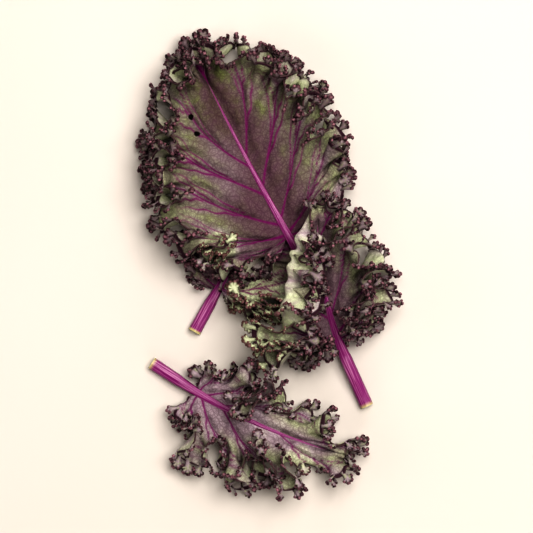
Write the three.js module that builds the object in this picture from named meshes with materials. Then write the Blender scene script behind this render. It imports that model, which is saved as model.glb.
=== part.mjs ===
// A small bunch of purple curly kale: four cut leaves lying loosely on and beside each other.
// Each leaf is a frilled blade with a slot along its middle, and a stalk whose midrib lies in that slot.
// Millimetres, +Z up, origin on the surface that the bunch lies on, under the middle of its outline.
import * as THREE from "three";

// Driving dimensions that all leaves share, in millimetres
const BLADE_THICKNESS = 0.6;
const SLOT_GAP = 0.65; // from a midrib to the middle of the blade's edge on each side of it
const SLOT_END = 1.6; // from a midrib's tip to the blade beyond it
const FULL_REACH = 14; // a side vein shorter than this carries less frill
const BUNCH_CENTRE = [0.64, -0.475]; // middle of the outline, on the plan that the feet below are given on
const FLOOR_SOFTNESS = 0.9; // height under which a drooping lobe bends to lie along the surface

// Mesh densities
const STALK_SIDES = 12;
const STALK_RINGS = 15;
const COLUMNS_PER_FRILL = 8;
const OUTLINE_SAMPLES = 400;
const STEPS_PER_ROW = 8;

// Rows across a blade from slot to rim: the zone of each, its share of that zone, and its column stride
const ROWS = [
  { zone: "inner", share: 0, stride: 8 },
  { zone: "inner", share: 1, stride: 8 },
  { zone: "lobe", share: 0.5, stride: 8 },
  { zone: "lobe", share: 1, stride: 4 },
  { zone: "frill", share: 0.36, stride: 2 },
  { zone: "frill", share: 0.68, stride: 1 },
  { zone: "frill", share: 1, stride: 1 },
];

// Proportions that all leaves share
const RIB_SHARE = 0.8; // length of the midrib against the blade
const BLADE_END = 0.93; // share of the half turn from tip to foot that the blade's outline covers
const VEIN_SWEEP = 2; // power that sweeps the side veins forward
const FIRST_VEIN = 0.14; // share of the midrib behind the first side vein, which runs back towards the foot
const SLOT_ROUNDING = 4; // how sharply the slot closes round the tip of the midrib
const MOST_LOBE_ZONE = 0.85; // widest lobed zone, as a share of the way from rib to rim
const MOST_FRILL_ZONE = 0.6; // widest frilled zone, likewise
const FULL_FRILL = 0.6; // share of the frilled zone over which the frill grows to its full curl
const FOLD_START = 0.34; // shares of the way from rib to rim between which a folded half turns over
const FOLD_END = 0.64;
const MOST_NOTCH = 0.4; // deepest notch between two lobes, as a share of the way from rib to rim
const CALM_FROM = 0.35; // share of the half turn from tip to foot where the calm of the foot's side sets in
const CALM_FULL = 0.8; // and where it is full
const STALK_CREST = 0.8; // height of a stalk above its axis against its radius
const RIB_TAPER = 0.8; // power by which a midrib thins towards its tip

// Slow waves that make no two lobes or frills alike: their size, and radians for each lobe along the rim
const LOBE_DRIFT = { size: 0.16, rate: 2.3 }; // lobes
const LOBE_SHIFT = { size: 0.6, rate: 1.3 }; // radians
const FRILL_SHIFT = { size: 0.14, rate: 3.1 }; // frill waves
const FRILL_CHANGE = { size: 0.15, rate: 4.7 }; // share of the swing
const CURL_CHANGE = { size: 0.25, rate: 1.9 }; // share of the mean curl
const LEAN = { size: 3, rate: 2.7 }; // degrees

// The four leaves. foot: where the blade starts on its stalk, on plan. heading and bend: the midrib's
// direction there and its turn along the blade, in degrees. heights: the stalk's axis at its cut end, the
// foot, half way and the tip. stalk: its bare length, and its radius at the cut, the foot and the tip.
// left and right: the width of each half, egg, how far that sits towards the foot, the slopes in degrees at
// the rib and the rim, and calm, how far a leaf lying on it presses the frill flat, near the tip and near the
// foot. fold: where on the rim, in degrees from the tip, a half turns over, how far and over what spread.
// lobes: their number, the depth and width of the notches between them, their swing in degrees and the width
// of their zone. frills: waves per lobe, mean curl and swing in degrees, fan of each wave, and the width of
// their zone. seed: sets the slow waves.
const LEAVES = [
  {
    name: "large_leaf",
    foot: [10.4, 1.2],
    heading: 120,
    bend: -5,
    length: 68,
    heights: [4.8, 5.5, 7.2, 4],
    stalk: { bare: 7, cut: 1.7, foot: 1.6, tip: 0.4 },
    left: { width: 31, egg: -0.25, slopes: [2, -7], calm: [0, 0.5] },
    right: { width: 28.5, egg: 0.02, slopes: [2, -14], calm: [0, 0.85] },
    fold: { at: 0, turn: 0, spread: 1 },
    lobes: { count: 13, depth: 3, sinus: 0.6, swing: 18, zone: 20 },
    frills: { perLobe: 2, curl: 32, swing: 41, fan: 4, zone: 11 },
    seed: 0.6,
  },
  {
    name: "folded_leaf",
    foot: [22, -25],
    heading: 114,
    bend: -31,
    length: 47,
    heights: [1.45, 3.6, 10, 11.5],
    stalk: { bare: 15, cut: 1.8, foot: 1.65, tip: 0.4 },
    left: { width: 26, egg: -0.3, slopes: [29, -22], calm: [0.8, 0.5] },
    right: { width: 20, egg: -0.12, slopes: [8, -22], calm: [0, 0.2] },
    fold: { at: 74, turn: 165, spread: 50 },
    lobes: { count: 10, depth: 2.5, sinus: 0.6, swing: 18, zone: 16 },
    frills: { perLobe: 2, curl: 28, swing: 41, fan: 4, zone: 9 },
    seed: 2,
  },
  {
    name: "under_leaf",
    foot: [-14.5, -10],
    heading: 61,
    bend: -8,
    length: 38,
    heights: [1.35, 1.55, 1.8, 1.6],
    stalk: { bare: 9.5, cut: 1.75, foot: 1.6, tip: 0.4 },
    left: { width: 16, egg: -0.25, slopes: [0, -4], calm: [0.85, 0.3] },
    right: { width: 20, egg: -0.45, slopes: [0, -2], calm: [0.85, 0] },
    fold: { at: 0, turn: 0, spread: 1 },
    lobes: { count: 9, depth: 2, sinus: 0.6, swing: 8, zone: 10 },
    frills: { perLobe: 2, curl: 20, swing: 32, fan: 4, zone: 7 },
    seed: 2.4,
  },
  {
    name: "small_leaf",
    foot: [-23.2, -31.8],
    heading: -33,
    bend: 21,
    length: 57,
    heights: [1.35, 2.2, 4.2, 3],
    stalk: { bare: 9, cut: 1.7, foot: 1.55, tip: 0.35 },
    left: { width: 15.5, egg: -0.35, slopes: [8, -12], calm: [0, 0] },
    right: { width: 20, egg: -0.25, slopes: [6, -10], calm: [0, 0] },
    fold: { at: 0, turn: 0, spread: 1 },
    lobes: { count: 10, depth: 5, sinus: 1, swing: 16, zone: 14 },
    frills: { perLobe: 2, curl: 28, swing: 38, fan: 4, zone: 8 },
    seed: 5,
  },
];

const radians = THREE.MathUtils.degToRad;
const mix = THREE.MathUtils.lerp;
const smooth = THREE.MathUtils.smoothstep;
const uneven = ({ size, rate }, m, seed) => size * Math.sin(rate * m + seed);

// The value at x of the smooth line through points [x, value].
function through(points, x) {
  return points.reduce((sum, [xi, value], i) => {
    const weight = points.reduce((w, [xj], j) => (i === j ? w : (w * (x - xj)) / (xi - xj)), 1);
    return sum + value * weight;
  }, 0);
}

// Height of a stalk's axis, from its cut end at x = -bare, past the foot of the blade at x = 0, to the tip.
function ribHeight(leaf, x) {
  const [cut, foot, middle, tip] = leaf.heights;
  const { bare } = leaf.stalk;
  if (x < 0) return mix(foot, cut, smooth(-x, 0, bare));
  return through([[0, foot], [leaf.length / 2, middle], [leaf.length, tip]], x);
}

// Radius of a stalk at x along its leaf.
function ribRadius(leaf, x) {
  const { bare, cut, foot, tip } = leaf.stalk;
  if (x < 0) return mix(foot, cut, -x / bare);
  return mix(foot, tip, Math.min(1, x / (RIB_SHARE * leaf.length)) ** RIB_TAPER);
}

// Plan of a leaf's bent centre line: its point and direction at x along it.
function centreLine(leaf, x) {
  const turn = radians(leaf.bend) / leaf.length;
  const start = radians(leaf.heading);
  const heading = start + turn * Math.max(0, x);
  const point = new THREE.Vector2(...leaf.foot).sub(new THREE.Vector2(...BUNCH_CENTRE));
  point.x += (Math.sin(heading) - Math.sin(start)) / turn + Math.min(0, x) * Math.cos(start);
  point.y -= (Math.cos(heading) - Math.cos(start)) / turn - Math.min(0, x) * Math.sin(start);
  return { point, along: new THREE.Vector2(Math.cos(heading), Math.sin(heading)) };
}

// Carries a point of the straight, level leaf to its place in the bunch.
function place(leaf, { x, y, z }) {
  const { point, along } = centreLine(leaf, x);
  return new THREE.Vector3(point.x - y * along.y, point.y + y * along.x, z + ribHeight(leaf, x));
}

// The flat outline at an angle from the tip, positive on the left.
function outlineAt(leaf, angle) {
  const { width, egg } = angle > 0 ? leaf.left : leaf.right;
  const x = (leaf.length * (1 + Math.cos(angle))) / 2;
  return new THREE.Vector2(x, width * Math.sin(angle) * (1 + egg * Math.cos(angle)));
}

// The edge of the slot at an angle from the tip: it follows the midrib and closes round its end.
function slotAt(leaf, angle) {
  const end = RIB_SHARE * leaf.length;
  const x = end * mix(FIRST_VEIN, 1, ((1 + Math.cos(angle)) / 2) ** VEIN_SWEEP);
  const half = ribRadius(leaf, x) + SLOT_GAP;
  return new THREE.Vector2(x + SLOT_END * Math.cos(angle / 2), half * Math.tanh(SLOT_ROUNDING * angle));
}

// Angles from the tip, evenly spaced along the outline from the left foot to the right foot.
function outlineRuler(leaf) {
  const most = BLADE_END * Math.PI;
  const angles = [];
  const lengths = [0];
  for (let i = 0; i <= OUTLINE_SAMPLES; i++) {
    angles.push(most - (2 * most * i) / OUTLINE_SAMPLES);
    if (i > 0) {
      const step = outlineAt(leaf, angles[i]).distanceTo(outlineAt(leaf, angles[i - 1]));
      lengths.push(lengths[i - 1] + step);
    }
  }
  return (share) => {
    const wanted = THREE.MathUtils.clamp(share, 0, 1) * lengths[OUTLINE_SAMPLES];
    const i = Math.max(1, lengths.findIndex((length) => length >= wanted));
    return mix(angles[i - 1], angles[i], (wanted - lengths[i - 1]) / (lengths[i] - lengths[i - 1]));
  };
}

// Everything about one column, which follows a side vein from slot to rim. m counts lobes along the rim.
function columnAt(leaf, ruler, m) {
  const { seed, lobes, frills } = leaf;
  const drift = uneven(LOBE_DRIFT, m, seed) * Math.sin((Math.PI * m) / lobes.count);
  const angle = ruler((m + drift) / lobes.count);
  const slot = slotAt(leaf, angle);
  const rim = outlineAt(leaf, angle);
  const reach = slot.distanceTo(rim);
  const towardsFoot = smooth(Math.abs(angle) / Math.PI, CALM_FROM, CALM_FULL);
  const calm = mix(...(angle > 0 ? leaf.left : leaf.right).calm, towardsFoot);
  const lively = (1 - calm) * Math.min(1, reach / FULL_REACH);
  const leftShare = (1 + Math.sin(angle)) / 2;
  const [ribSlope, rimSlope] = [0, 1].map((i) => mix(leaf.right.slopes[i], leaf.left.slopes[i], leftShare));
  const fromFold = (angle - radians(leaf.fold.at)) / radians(leaf.fold.spread);
  const wave = 2 * Math.PI * (frills.perLobe * m + uneven(FRILL_SHIFT, m, seed));
  const curl = frills.curl * (1 + uneven(CURL_CHANGE, m, seed));
  const swing = frills.swing * (1 + uneven(FRILL_CHANGE, m, 2 * seed));
  const notch = lobes.depth * (1 - Math.abs(Math.sin(Math.PI * m)) ** lobes.sinus);
  return {
    slot,
    reach,
    along: rim.clone().sub(slot).normalize(),
    slopes: [ribSlope, rimSlope],
    foldTilt: leaf.fold.turn * Math.exp(-(fromFold ** 2)),
    lobeTilt: lively * lobes.swing * Math.sin(Math.PI * m + uneven(LOBE_SHIFT, m, 0)),
    frillTilt: lively * (curl + swing * Math.sin(wave)),
    fan: lively * (uneven(LEAN, m, seed) - frills.fan * Math.sin(2 * wave)),
    notch: Math.min(notch, MOST_NOTCH * reach),
  };
}

// The points of one column at each row, found by walking out along the vein as it tilts, curls and fans.
function walkColumn(leaf, column) {
  const lobeStart = 1 - Math.min(MOST_LOBE_ZONE, leaf.lobes.zone / column.reach);
  const frillStart = 1 - Math.min(MOST_FRILL_ZONE, leaf.frills.zone / column.reach);
  const ends = { inner: [0, lobeStart], lobe: [lobeStart, frillStart], frill: [frillStart, 1] };
  const inLobe = (r) => smooth(r, lobeStart, 1);
  const inFrill = (r) => smooth(r, frillStart, mix(frillStart, 1, FULL_FRILL));
  const distance = (r) => column.reach * r - column.notch * inLobe(r) ** 2;
  const point = new THREE.Vector3(column.slot.x, column.slot.y, 0);
  const { x: ax, y: ay } = column.along;
  let last = 0;
  return ROWS.map((row) => {
    const target = mix(...ends[row.zone], row.share);
    for (let i = 0; i < STEPS_PER_ROW; i++) {
      const from = mix(last, target, i / STEPS_PER_ROW);
      const to = mix(last, target, (i + 1) / STEPS_PER_ROW);
      const r = (from + to) / 2;
      const slope = mix(...column.slopes, r) + column.foldTilt * smooth(r, FOLD_START, FOLD_END);
      const tilt = radians(slope + column.lobeTilt * inLobe(r) + column.frillTilt * inFrill(r));
      const fan = radians(column.fan * inFrill(r));
      const step = distance(to) - distance(from);
      const flat = step * Math.cos(tilt);
      point.x += flat * (ax * Math.cos(fan) + ay * Math.sin(fan));
      point.y += flat * (ay * Math.cos(fan) - ax * Math.sin(fan));
      point.z += step * Math.sin(tilt);
    }
    last = target;
    return point.clone();
  });
}

// Lets a point that would sink into the surface lie along it instead.
function restOnSurface(point) {
  const clear = point.z - BLADE_THICKNESS / 2;
  if (clear < FLOOR_SOFTNESS) {
    point.z = BLADE_THICKNESS / 2 + FLOOR_SOFTNESS * Math.exp(clear / FLOOR_SOFTNESS - 1);
  }
  return point;
}

// The middle surface of a blade: rows of points from slot to rim, with more columns in the outer rows.
function bladeSurface(leaf) {
  const ruler = outlineRuler(leaf);
  const columnsPerLobe = leaf.frills.perLobe * COLUMNS_PER_FRILL;
  const columns = leaf.lobes.count * columnsPerLobe;
  const positions = [];
  const index = ROWS.map(() => []);
  for (let c = 0; c <= columns; c++) {
    const column = columnAt(leaf, ruler, c / columnsPerLobe);
    walkColumn(leaf, column).forEach((point, j) => {
      if (c % ROWS[j].stride) return;
      index[j].push(positions.length / 3);
      positions.push(...restOnSurface(place(leaf, point)).toArray());
    });
  }
  const triangles = [];
  for (let j = 1; j < ROWS.length; j++) {
    const [inner, outer] = [index[j - 1], index[j]];
    const ratio = (outer.length - 1) / (inner.length - 1);
    for (let i = 0; i < inner.length - 1; i++) {
      const [a, b] = [inner[i], inner[i + 1]];
      const middle = outer[i * ratio + Math.ceil(ratio / 2)];
      for (let k = 0; k < ratio; k++) {
        const [p, q] = [outer[i * ratio + k], outer[i * ratio + k + 1]];
        triangles.push(k < Math.ceil(ratio / 2) ? [a, q, p] : [b, q, p]);
      }
      triangles.push([a, b, middle]);
    }
  }
  return { positions, triangles };
}

// Gives a surface its thickness: two faces split into the same triangles, and a wall along the open edges.
function thicken({ positions, triangles }, thickness) {
  const surface = new THREE.BufferGeometry();
  surface.setAttribute("position", new THREE.Float32BufferAttribute(positions, 3));
  surface.setIndex(triangles.flat());
  surface.computeVertexNormals();
  const normals = surface.getAttribute("normal").array;
  const offset = (half) => positions.map((value, i) => value + half * normals[i]);
  const count = positions.length / 3;
  const faces = [];
  const edges = new Map();
  for (const [a, b, c] of triangles) {
    faces.push(a, b, c, c + count, b + count, a + count);
    for (const [p, q] of [[a, b], [b, c], [c, a]]) {
      if (!edges.delete(`${q},${p}`)) edges.set(`${p},${q}`, [p, q]);
    }
  }
  for (const [p, q] of edges.values()) {
    faces.push(q, p, p + count, q, p + count, q + count);
  }
  const solid = new THREE.BufferGeometry();
  const both = [...offset(thickness / 2), ...offset(-thickness / 2)];
  solid.setAttribute("position", new THREE.Float32BufferAttribute(both, 3));
  solid.setIndex(faces);
  return solid;
}

// A stalk with its midrib: a tapering rod, flattened a little on top and where it lies on the surface.
function stalkSolid(leaf) {
  const { bare } = leaf.stalk;
  const end = RIB_SHARE * leaf.length;
  const positions = [];
  const faces = [];
  for (let i = 0; i <= STALK_RINGS; i++) {
    const x = mix(-bare, end, i / STALK_RINGS);
    const radius = ribRadius(leaf, x);
    for (let k = 0; k < STALK_SIDES; k++) {
      const turn = (2 * Math.PI * k) / STALK_SIDES;
      const up = radius * Math.cos(turn) * (Math.cos(turn) > 0 ? STALK_CREST : 1);
      const point = place(leaf, new THREE.Vector3(x, radius * Math.sin(turn), up));
      positions.push(point.x, point.y, Math.max(0, point.z));
    }
  }
  const at = (i, k) => i * STALK_SIDES + (k % STALK_SIDES);
  for (let i = 0; i < STALK_RINGS; i++) {
    for (let k = 0; k < STALK_SIDES; k++) {
      faces.push(at(i, k), at(i + 1, k), at(i, k + 1), at(i, k + 1), at(i + 1, k), at(i + 1, k + 1));
    }
  }
  for (let k = 1; k < STALK_SIDES - 1; k++) {
    faces.push(at(0, 0), at(0, k), at(0, k + 1));
    faces.push(at(STALK_RINGS, 0), at(STALK_RINGS, k + 1), at(STALK_RINGS, k));
  }
  const solid = new THREE.BufferGeometry();
  solid.setAttribute("position", new THREE.Float32BufferAttribute(positions, 3));
  solid.setIndex(faces);
  return solid;
}

const bladeMaterial = new THREE.MeshStandardMaterial({ color: 0x4a4347, roughness: 0.6, metalness: 0 });
const stalkMaterial = new THREE.MeshStandardMaterial({ color: 0x8e1c78, roughness: 0.4, metalness: 0 });

const bunch = new THREE.Group();
for (const leaf of LEAVES) {
  const blade = new THREE.Mesh(thicken(bladeSurface(leaf), BLADE_THICKNESS), bladeMaterial);
  blade.name = `${leaf.name}_blade`;
  const stalk = new THREE.Mesh(stalkSolid(leaf), stalkMaterial);
  stalk.name = `${leaf.name}_stalk`;
  bunch.add(blade, stalk);
}

export default bunch;
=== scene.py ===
# %% [markdown]
# # A small bunch of purple curly kale
# Four cut leaves lie loosely on and beside each other on a pale table. Each leaf is a thin blade that
# ends in a tight frill of small knobbed hands, with a magenta midrib that runs on as a bare stalk. The
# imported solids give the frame: every piece below sits where its solid is, and only the looks are added.

import bpy
import numpy as np
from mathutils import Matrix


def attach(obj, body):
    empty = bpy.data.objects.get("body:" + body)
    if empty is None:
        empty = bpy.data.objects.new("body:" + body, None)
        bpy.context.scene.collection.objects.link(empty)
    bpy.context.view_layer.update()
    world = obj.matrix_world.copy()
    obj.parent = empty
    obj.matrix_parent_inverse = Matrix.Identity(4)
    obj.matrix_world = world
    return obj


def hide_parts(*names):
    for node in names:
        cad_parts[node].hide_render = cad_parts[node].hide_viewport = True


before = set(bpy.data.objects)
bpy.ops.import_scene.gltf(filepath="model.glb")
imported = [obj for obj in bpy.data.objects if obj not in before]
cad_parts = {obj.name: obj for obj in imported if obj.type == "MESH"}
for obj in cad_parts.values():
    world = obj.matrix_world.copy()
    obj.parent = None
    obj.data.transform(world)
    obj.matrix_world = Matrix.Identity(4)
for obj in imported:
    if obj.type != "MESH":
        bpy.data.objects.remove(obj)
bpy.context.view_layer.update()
bpy.ops.object.select_all(action="DESELECT")
MM = 0.001
print("frame loaded:", ", ".join(sorted(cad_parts)))

# %% [markdown]
# ## The growth rule of a leaf
# A frilled blade could be sculpted by hand or draped as cloth, but a script can't repeat the first, and
# cloth doesn't curl as a growing rim does. Here a leaf is grown by rule: side veins leave the midrib, and
# each vein is walked outwards while it tilts, curls and swings. The frill comes from that swing, because
# its rim grows longer than the room it has.
#
# Each leaf below has its place and course (foot, heading, bend, length, and a bare stalk below the foot),
# the midrib's heights and radii from cut end to tip, and two halves with their width, egg shape, slopes by
# rib and rim, and calm (1 is flat, 0 is frilled) by tip and foot. Then come the fold, the lobes, the frill
# on them, the lobes that roll over (place, turn, spread), and how pale the leaf is by rib and by rim.

# %% Driving dimensions, in millimetres and degrees
LEAVES = {
    "large_leaf": {
        "foot": (10.4, 1.2),
        "heading": 120,
        "bend": -5,
        "length": 68,
        "heights": (4.8, 5.5, 7.2, 4),
        "bare": 7,
        "radii": (1.7, 1.6, 0.25),
        "left": {"width": 31, "egg": -0.25, "slopes": (2, -7), "calm": (0, 0.2)},
        "right": {"width": 28.5, "egg": 0.02, "slopes": (2, -14), "calm": (0, 0.85)},
        "fold": {"at": 0, "turn": 0, "spread": 1},
        "lobes": {"count": 13, "depth": 2.5, "sinus": 0.6, "swing": 22, "zone": 22},
        "frills": {"per_lobe": 2, "curl": 34, "swing": 50, "fan": 36, "zone": 11},
        "rolled": ((2.0, 75, 0.4), (9.9, 60, 0.5)),
        "tones": (0.04, 0.5),
        "seed": 0.6,
    },
    "folded_leaf": {
        "foot": (22, -25),
        "heading": 114,
        "bend": -31,
        "length": 47,
        "heights": (1.45, 3.6, 10, 11.5),
        "bare": 15,
        "radii": (1.8, 1.65, 0.25),
        "left": {"width": 26, "egg": -0.3, "slopes": (15, -12), "calm": (0.2, 0.1)},
        "right": {"width": 20, "egg": -0.12, "slopes": (8, -22), "calm": (0, 0)},
        "fold": {"at": 60, "turn": 165, "spread": 44},
        "lobes": {"count": 10, "depth": 4.5, "sinus": 0.7, "swing": 28, "zone": 17},
        "frills": {"per_lobe": 2, "curl": 34, "swing": 54, "fan": 30, "zone": 13},
        "rolled": ((1.3, 80, 0.7), (7.9, 70, 0.5), (9.2, 60, 0.4)),
        "tones": (0.2, 0.75),
        "seed": 2,
    },
    "under_leaf": {
        "foot": (-14.5, -10),
        "heading": 61,
        "bend": -8,
        "length": 38,
        "heights": (1.35, 1.55, 1.8, 1.6),
        "bare": 9.5,
        "radii": (1.75, 1.6, 0.25),
        "left": {"width": 16, "egg": -0.25, "slopes": (0, -4), "calm": (0.85, 0.3)},
        "right": {"width": 23, "egg": -0.45, "slopes": (0, -2), "calm": (0.85, 0)},
        "fold": {"at": 0, "turn": 0, "spread": 1},
        "lobes": {"count": 9, "depth": 3, "sinus": 0.6, "swing": 16, "zone": 16},
        "frills": {"per_lobe": 2, "curl": 40, "swing": 54, "fan": 20, "zone": 14},
        "rolled": ((7.4, 60, 0.5),),
        "tones": (0.1, 0.4),
        "seed": 2.4,
    },
    "small_leaf": {
        "foot": (-23.2, -31.8),
        "heading": -33,
        "bend": 21,
        "length": 57,
        "heights": (1.35, 2.2, 4.2, 3),
        "bare": 9,
        "radii": (1.7, 1.55, 0.25),
        "left": {"width": 15.5, "egg": -0.35, "slopes": (8, -12), "calm": (0, 0)},
        "right": {"width": 20, "egg": -0.25, "slopes": (6, -10), "calm": (0, 0)},
        "fold": {"at": 0, "turn": 0, "spread": 1},
        "lobes": {"count": 10, "depth": 9, "sinus": 1.1, "swing": 26, "zone": 18},
        "frills": {"per_lobe": 2, "curl": 24, "swing": 50, "fan": 26, "zone": 12},
        "rolled": ((2.5, 60, 0.4), (6.6, 60, 0.5)),
        "tones": (0.55, 0.72),
        "seed": 5,
    },
}


def mix(a, b, t):
    return a + (b - a) * t


def smooth(x, low, high):
    t = np.clip((x - low) / (high - low), 0, 1)
    return t * t * (3 - 2 * t)


print("leaves to grow:", len(LEAVES))

# %% [markdown]
# ## Midrib and outline
# A leaf is first drawn straight and level, with its foot at zero and its tip on the X axis, because its
# midrib and its egg-shaped outline are then short formulas. A last step bends it along its course and
# carries it to its place in the bunch.

# %% Midrib and outline
BUNCH_CENTRE = (0.64, -0.475)
RIB_SHARE = 0.8
RIB_TAPER = 0.6
BLADE_END = 0.93
VEIN_SWEEP = 2
FIRST_VEIN = 0.14
SLOT_SHARE = 0.5
SLOT_ROUNDING = 4
OUTLINE_STEPS = 800


def rib_height(leaf, x):
    """A parabola through three heights of the blade's midrib; the bare stalk eases down to its cut end."""
    cut, foot, middle, tip = leaf["heights"]
    t = np.maximum(x, 0) / leaf["length"]
    blade = foot * (1 - t) * (1 - 2 * t) + 4 * middle * t * (1 - t) + tip * t * (2 * t - 1)
    return np.where(x < 0, mix(foot, cut, smooth(-x, 0, leaf["bare"])), blade)


def rib_radius(leaf, x):
    cut, foot, tip = leaf["radii"]
    along = np.clip(x / (RIB_SHARE * leaf["length"]), 0, 1) ** RIB_TAPER
    return np.where(x < 0, mix(foot, cut, -x / leaf["bare"]), mix(foot, tip, along))


def place(leaf, x, y, z):
    """Carries points of the straight, level leaf to their place in the bunch."""
    turn = np.radians(leaf["bend"]) / leaf["length"]
    start = np.radians(leaf["heading"])
    heading = start + turn * np.maximum(x, 0)
    bare = np.minimum(x, 0)
    foot_x, foot_y = (leaf["foot"][i] - BUNCH_CENTRE[i] for i in (0, 1))
    px = foot_x + (np.sin(heading) - np.sin(start)) / turn + bare * np.cos(start)
    py = foot_y - (np.cos(heading) - np.cos(start)) / turn + bare * np.sin(start)
    across = np.stack([-np.sin(heading), np.cos(heading)])
    return np.stack([px + y * across[0], py + y * across[1], z + rib_height(leaf, x)], axis=-1)


def side_value(leaf, angle, key):
    return np.where(angle > 0, leaf["left"][key], leaf["right"][key])


def outline_at(leaf, angle):
    """The outline's point at an angle round the blade: 0 at the tip, half a turn at the foot."""
    x = leaf["length"] * (1 + np.cos(angle)) / 2
    egg = 1 + side_value(leaf, angle, "egg") * np.cos(angle)
    return np.stack([x, side_value(leaf, angle, "width") * np.sin(angle) * egg], axis=-1)


def slot_at(leaf, angle):
    """Where the vein to that point of the outline leaves the midrib."""
    forward = ((1 + np.cos(angle)) / 2) ** VEIN_SWEEP
    x = RIB_SHARE * leaf["length"] * mix(FIRST_VEIN, 1, forward)
    return np.stack([x, SLOT_SHARE * rib_radius(leaf, x) * np.tanh(SLOT_ROUNDING * angle)], axis=-1)


def angle_at(leaf, share):
    """The angles at some shares of the way along the outline, from the left foot to the right."""
    angles = np.linspace(BLADE_END * np.pi, -BLADE_END * np.pi, OUTLINE_STEPS)
    steps = np.linalg.norm(np.diff(outline_at(leaf, angles), axis=0), axis=1)
    lengths = np.concatenate([[0], np.cumsum(steps)])
    return np.interp(np.clip(share, 0, 1) * lengths[-1], lengths, angles)


for name, leaf in LEAVES.items():
    wide = leaf["left"]["width"] + leaf["right"]["width"]
    print(name, "is about", wide, "mm wide and", leaf["length"], "mm long")

# %% [markdown]
# ## Growing the blade
# The sheet of a blade is one grid: its columns follow the side veins from the midrib to the rim, and its
# rows lie closer together in the frill. Three waves share the rim: lobes, the frill on each lobe, and a
# small crimp in the last few millimetres, as real curly kale has.

# %% Columns and rows of the grid
COLUMNS_PER_FRILL = 27
ROW_COUNTS = {"inner": 10, "lobe": 22, "frill": 17}
COLUMN_DRIFT = 0.16
DRIFT_RATE = 2.3
HAND_REACH = 2
LEAST_TRIM = 0.7


def lay_columns(leaf):
    """Where each column leaves the midrib, which way it runs and how far; the hands take the last bit."""
    count = leaf["lobes"]["count"]
    m = np.linspace(0, count, count * leaf["frills"]["per_lobe"] * COLUMNS_PER_FRILL + 1)
    drift = COLUMN_DRIFT * np.sin(DRIFT_RATE * m + leaf["seed"]) * np.sin(np.pi * m / count)
    angle = angle_at(leaf, (m + drift) / count)
    slot, rim = slot_at(leaf, angle), outline_at(leaf, angle)
    full_reach = np.linalg.norm(rim - slot, axis=1)
    out = (rim - slot) / full_reach[:, None]
    reach = np.maximum(full_reach - HAND_REACH, LEAST_TRIM * full_reach)
    return {"m": m, "angle": angle, "slot": slot, "out": out, "reach": reach}


def row_shares(lobe_start, frill_start):
    """Shares of the way from rib to rim for each column and row."""
    inner = np.linspace(0, 1, ROW_COUNTS["inner"], endpoint=False)
    lobe = np.linspace(0, 1, ROW_COUNTS["lobe"], endpoint=False)
    frill = np.linspace(0, 1, ROW_COUNTS["frill"])
    start, middle = lobe_start[:, None], frill_start[:, None]
    return np.hstack([inner * start, mix(start, middle, lobe), mix(middle, 1, frill)])


print("rows from rib to rim:", sum(ROW_COUNTS.values()))

# %% [markdown]
# ## Waves of the rim
# A rim could be waved by a noise texture, but that looks lumpy and not grown. Sines that wander a little
# in pace and size are regular enough for a frill and still never quite the same twice.

# %% Waves of the rim
FULL_REACH = 14
CALM_RANGE = (0.35, 0.8)
CRIMP_SWING = 36
CRIMPS_PER_FRILL = 2.7
LOBE_SWAY = 0.6
LOBE_SWAY_RATE = 1.3
WAVE_WANDER = (0.3, 2.9)
CRIMP_WANDER = (0.4, 3.7)
CURL_WANDER = (0.6, 1.9)
SWING_WANDER = (0.2, 4.3)
FAN_WANDER = (5, 2.7)
SECOND_RATE = 1.7
SECOND_SEED = 2.3


def wander(m, amount_and_rate, seed):
    """A slow, uneven wave, the same for the same seed."""
    amount, rate = amount_and_rate
    second = np.sin(SECOND_RATE * rate * m + SECOND_SEED * seed + 1)
    return amount * ((np.sin(rate * m + seed) + second) / 2)


def liveliness(leaf, column):
    """How fully each column frills, from 0 to 1: less where the leaf is calm or narrow."""
    to_foot = smooth(np.abs(column["angle"]) / np.pi, *CALM_RANGE)
    left, right = mix(*leaf["left"]["calm"], to_foot), mix(*leaf["right"]["calm"], to_foot)
    calm = np.where(column["angle"] > 0, left, right)
    return (1 - calm) * np.minimum(1, column["reach"] / FULL_REACH)


def rim_waves(leaf, m, lively):
    """How far each column tilts in the waves of the rim, in degrees, and how far it fans sideways."""
    lobes, frills, seed = leaf["lobes"], leaf["frills"], leaf["seed"]
    wave = 2 * np.pi * (frills["per_lobe"] * m + wander(m, WAVE_WANDER, seed))
    crimps = frills["per_lobe"] * CRIMPS_PER_FRILL * m + wander(m, CRIMP_WANDER, 3 * seed)
    curl = frills["curl"] * (1 + wander(m, CURL_WANDER, seed))
    swing = frills["swing"] * (1 + wander(m, SWING_WANDER, 2 * seed))
    rolls = [turn * np.exp(-(((m - at) / spread) ** 2)) for at, turn, spread in leaf["rolled"]]
    return {
        "wave": wave,
        "lobe": lively * lobes["swing"] * np.sin(np.pi * m + LOBE_SWAY * np.sin(LOBE_SWAY_RATE * m)),
        "frill": lively * (curl + swing * np.sin(wave)),
        "crimp": lively * CRIMP_SWING * np.sin(2 * np.pi * crimps),
        "roll": lively * sum(rolls),
        "fan": lively * (wander(m, FAN_WANDER, seed) - frills["fan"] * np.sin(2 * wave)),
    }


for name, leaf in LEAVES.items():
    print(name, "has", leaf["lobes"]["count"] * leaf["frills"]["per_lobe"], "frills round its rim")

# %% [markdown]
# ## Walking a column
# Points that are only pushed up and down would stretch the sheet. Here each column is walked from rib to
# rim in small steps that are tilted and keep their length, so the blade can fold and roll over.

# %% Walk the columns
MOST_LOBE_ZONE = 0.85
MOST_FRILL_ZONE = 0.74
FULL_FRILL = 0.6
FIRST_CRIMP = 0.3
CRIMP_ZONE = 5.5
FOLD_RANGE = (0.34, 0.64)
PLEAT = 0.22


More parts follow.
